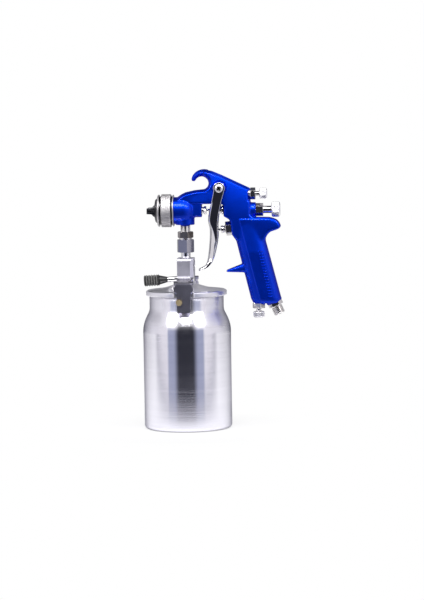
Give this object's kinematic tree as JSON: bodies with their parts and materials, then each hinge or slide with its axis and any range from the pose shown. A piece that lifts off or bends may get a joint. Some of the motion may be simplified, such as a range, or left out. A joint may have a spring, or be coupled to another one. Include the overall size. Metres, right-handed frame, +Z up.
{
  "type": "suction feed spray gun",
  "caption": "Suction feed air spray gun with a blue cast body, chrome trigger, control knobs and an aluminium paint cup clamped by a cam lever yoke.",
  "frame": {"origin": "middle of the cup's base, where the gun stands on a table", "axes": "+Z up along the cup, -X the way the spray goes, +X towards the handle, Y across the gun"},
  "size_m": [0.1619, 0.1038, 0.2957],
  "materials": {
    "blue_enamel": "gloss blue enamel on a casting",
    "chrome": "polished",
    "dark_chrome": "polished black nickel",
    "nickel": "nickel plate",
    "spun_aluminium": "spun and polished",
    "cast_aluminium": "satin casting",
    "gunmetal": "plated strap",
    "black_grip": "ribbed moulding",
    "brass": "turned",
    "seal": "PTFE"
  },
  "bodies": {
    "gun": {"gun_body": "blue_enamel", "fluid_nozzle": "nickel", "nozzle_gasket": "seal", "needle_packing": "seal", "packing_nut": "nickel", "needle_bush": "nickel", "needle_spring": "chrome", "fluid_nut": "nickel", "fan_valve_body": "nickel", "trigger_screw": "nickel", "trigger_nut": "nickel", "air_valve_body": "nickel", "air_valve_gland": "nickel", "air_valve_packing": "seal", "air_valve_spring": "chrome", "regulator_body": "nickel", "air_inlet": "nickel", "fluid_inlet": "nickel", "inlet_lock_nut": "nickel", "siphon_tube": "chrome", "lid": "cast_aluminium", "lid_gasket": "seal"},
    "air_cap": {"air_cap": "dark_chrome"},
    "cap_ring": {"air_cap_ring": "nickel"},
    "needle": {"fluid_needle": "chrome", "needle_collar": "chrome"},
    "fluid_screw": {"fluid_screw": "nickel"},
    "fluid_knob": {"fluid_knob": "nickel"},
    "fan_stem": {"fan_valve_stem": "nickel"},
    "fan_knob": {"fan_knob": "nickel"},
    "trigger": {"trigger": "chrome"},
    "air_stem": {"air_valve_stem": "chrome", "air_valve_disc": "nickel"},
    "regulator_stem": {"regulator_stem": "nickel"},
    "regulator_knob": {"regulator_knob": "nickel"},
    "union_nut": {"union_nut": "nickel"},
    "yoke": {"yoke": "gunmetal"},
    "cam_lever": {"cam_lever": "chrome", "lever_grip": "black_grip"},
    "cup": {"cup": "spun_aluminium", "cup_studs": "brass"}
  },
  "joints": [
    {"name": "trigger_pull", "type": "hinge", "parent": "gun", "child": "trigger", "pos_m": [0.0394, 0, 0.273], "axis": [0, -1, 0], "range_deg": [0, 11], "stiffness_Nm_per_rad": 3, "springref_deg": -11.46},
    {"name": "needle_slide", "type": "slide", "parent": "gun", "child": "needle", "axis": [1, 0, 0], "range_m": [0, 0.0036], "deforming": ["needle_spring"]},
    {"name": "air_valve_slide", "type": "slide", "parent": "gun", "child": "air_stem", "axis": [0.9925, 0, 0.1219], "range_m": [0, 0.0093], "deforming": ["air_valve_spring"]},
    {"name": "air_cap_turn", "type": "hinge", "parent": "gun", "child": "air_cap", "pos_m": [-0.03, 0, 0.248], "axis": [-1, 0, 0], "range_deg": [-90, 90]},
    {"name": "cap_ring_turn", "type": "hinge", "parent": "gun", "child": "cap_ring", "pos_m": [-0.02, 0, 0.248], "axis": [-1, 0, 0], "range_deg": [0, 180]},
    {"name": "fluid_screw_slide", "type": "slide", "parent": "gun", "child": "fluid_screw", "axis": [1, 0, 0], "range_m": [-0.002, 0.002]},
    {"name": "fluid_knob_turn", "type": "hinge", "parent": "fluid_screw", "child": "fluid_knob", "pos_m": [0.103, 0, 0.248], "axis": [1, 0, 0], "range_deg": [-720, 720]},
    {"name": "fan_stem_slide", "type": "slide", "parent": "gun", "child": "fan_stem", "axis": [1, 0, 0], "range_m": [-0.0015, 0.0015]},
    {"name": "fan_knob_turn", "type": "hinge", "parent": "fan_stem", "child": "fan_knob", "pos_m": [0.089, 0, 0.2663], "axis": [1, 0, 0], "range_deg": [-540, 540]},
    {"name": "regulator_stem_slide", "type": "slide", "parent": "gun", "child": "regulator_stem", "axis": [0, 0, -1], "range_m": [-0.0015, 0.0015]},
    {"name": "regulator_knob_turn", "type": "hinge", "parent": "regulator_stem", "child": "regulator_knob", "pos_m": [0.0823, 0, 0.129], "axis": [0, 0, -1], "range_deg": [-540, 540]},
    {"name": "union_nut_turn", "type": "hinge", "parent": "gun", "child": "union_nut", "pos_m": [0, 0, 0.208], "axis": [0, 0, -1], "range_deg": [0, 180]},
    {"name": "lever_swing", "type": "hinge", "parent": "gun", "child": "cam_lever", "pos_m": [0, 0, 0.17], "axis": [0, 0, 1], "range_deg": [0, 38]},
    {"name": "yoke_lift", "type": "slide", "parent": "gun", "child": "yoke", "axis": [0, 0, -1], "range_m": [0, 0.0012]},
    {"name": "cup_turn", "type": "hinge", "parent": "gun", "child": "cup", "pos_m": [0, 0, 0.08], "axis": [0, 0, -1], "range_deg": [0, 15]}
  ],
  "couplings": [
    {"joint": "needle_slide", "follows": "trigger_pull", "m_per_rad": 0.01875},
    {"joint": "air_valve_slide", "follows": "trigger_pull", "m_per_rad": 0.0482},
    {"joint": "fluid_knob_turn", "follows": "fluid_screw_slide", "rad_per_m": 6283},
    {"joint": "fan_knob_turn", "follows": "fan_stem_slide", "rad_per_m": 6283},
    {"joint": "regulator_knob_turn", "follows": "regulator_stem_slide", "rad_per_m": 6283},
    {"joint": "lever_swing", "follows": "yoke_lift", "rad_per_m": 552.6}
  ]
}
